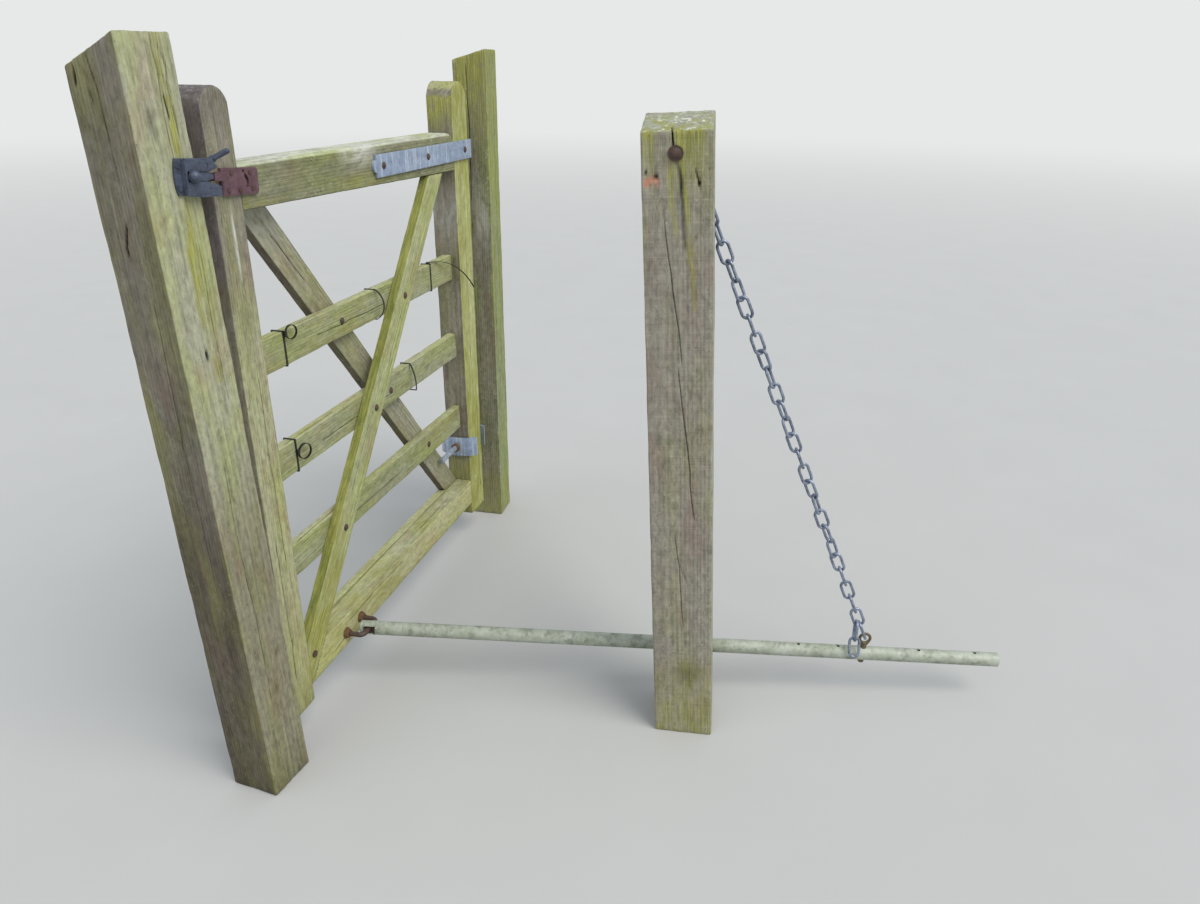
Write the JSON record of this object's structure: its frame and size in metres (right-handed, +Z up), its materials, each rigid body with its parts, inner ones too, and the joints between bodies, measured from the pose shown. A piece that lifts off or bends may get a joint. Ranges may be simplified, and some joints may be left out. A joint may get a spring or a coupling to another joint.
{
  "type": "timber path gate with pole and chain closer",
  "caption": "Small timber path gate between two square posts, closed by a steel pole on a staple and a chain hung from a third post, with strap and hook hinges and a sprung latch.",
  "frame": {"origin": "centre of the hanging post's foot, at ground level", "axes": "+X from the latch post towards the hanging post, -Y towards the side the pole hangs and the gate opens, +Z up"},
  "size_m": [1.4526, 1.6459, 1.461],
  "materials": {
    "gate_wood": "weathered softwood with yellow-green algae",
    "post_wood": "weathered dark softwood",
    "galvanised_steel": "dull galvanised steel",
    "rusty_steel": "rusty steel",
    "brown_steel": "brown stained steel",
    "latch_metal": "worn blue-black paint on a casting",
    "striker_paint": "chipped red oxide paint",
    "black_plastic": "black nylon"
  },
  "bodies": {
    "posts": {"latch_post": "post_wood", "hanging_post": "post_wood", "closer_post": "post_wood", "top_hook": "galvanised_steel", "bottom_hook": "galvanised_steel", "latch_body": "latch_metal", "latch_screws": "galvanised_steel", "chain_bolt": "rusty_steel", "chain_bolt_nut": "rusty_steel"},
    "gate": {"head_stile": "gate_wood", "hinge_stile": "gate_wood", "top_rail": "gate_wood", "upper_rail": "gate_wood", "middle_rail": "gate_wood", "lower_rail": "gate_wood", "bottom_rail": "gate_wood", "bottom_rail_back": "gate_wood", "front_brace": "gate_wood", "rear_brace": "gate_wood", "brace_bolts": "rusty_steel", "top_hinge_strap": "galvanised_steel", "top_hinge_bolts": "rusty_steel", "bottom_eye_bolt": "galvanised_steel", "bottom_hinge_nut": "rusty_steel", "saddle_plate": "galvanised_steel", "rear_saddle_plate": "galvanised_steel", "striker_plate": "striker_paint", "striker_screws": "galvanised_steel", "pole_staple": "rusty_steel", "staple_nuts": "rusty_steel", "cable_ties": "black_plastic"},
    "bolt": {"latch_bolt": "latch_metal"},
    "lever": {"latch_lever": "latch_metal"},
    "bush": {"pole_bush": "rusty_steel"},
    "pole": {"closer_pole": "galvanised_steel", "pole_eye": "brown_steel"},
    "first_link": {"top_link": "galvanised_steel"},
    "chain": {"chain": "galvanised_steel", "spare_links": "galvanised_steel"}
  },
  "joints": [
    {"name": "gate_swing", "type": "hinge", "parent": "posts", "child": "gate", "pos_m": [-0.08, 0.0225, 0.3], "axis": [0, 0, 1], "range_deg": [0, 35.4]},
    {"name": "pole_loose_turn", "type": "hinge", "parent": "gate", "child": "bush", "pos_m": [-0.971, -0.059, 0.156], "axis": [0.0644, -0.9809, -0.1835], "range_deg": [-17.59, 0]},
    {"name": "pole_swing", "type": "hinge", "parent": "bush", "child": "pole", "pos_m": [-0.971, -0.059, 0.156], "axis": [0.3183, 0.1904, 0.9287], "range_deg": [-39.4, 0]},
    {"name": "first_link_swing", "type": "hinge", "parent": "posts", "child": "first_link", "pos_m": [-0.80324, -0.7525, 1.27592], "axis": [0.4892, -0.0144, -0.872], "range_deg": [-39.4, 0]},
    {"name": "chain_swing", "type": "hinge", "parent": "first_link", "child": "chain", "pos_m": [-0.79926, -0.76741, 1.2391], "axis": [0.7968, -0.4712, 0.3782], "range_deg": [-14.73, 0]},
    {"name": "latch_bolt_slide", "type": "slide", "parent": "posts", "child": "bolt", "axis": [-0.9906, 0.118, 0.0698], "range_m": [0, 0.01], "stiffness_N_per_m": 300, "springref_m": -0.02},
    {"name": "latch_lever_turn", "type": "hinge", "parent": "posts", "child": "lever", "pos_m": [-1.28001, -0.03762, 1.25735], "axis": [-0.117, -0.993, 0.019], "range_deg": [-18.1, 0]}
  ],
  "couplings": [
    {"joint": "pole_loose_turn", "follows": "gate_swing", "ratio": -0.49545},
    {"joint": "pole_swing", "follows": "gate_swing", "ratio": -1.1115},
    {"joint": "first_link_swing", "follows": "gate_swing", "ratio": -1.1116},
    {"joint": "chain_swing", "follows": "gate_swing", "ratio": -0.41471},
    {"joint": "latch_lever_turn", "follows": "latch_bolt_slide", "rad_per_m": -31.4}
  ]
}
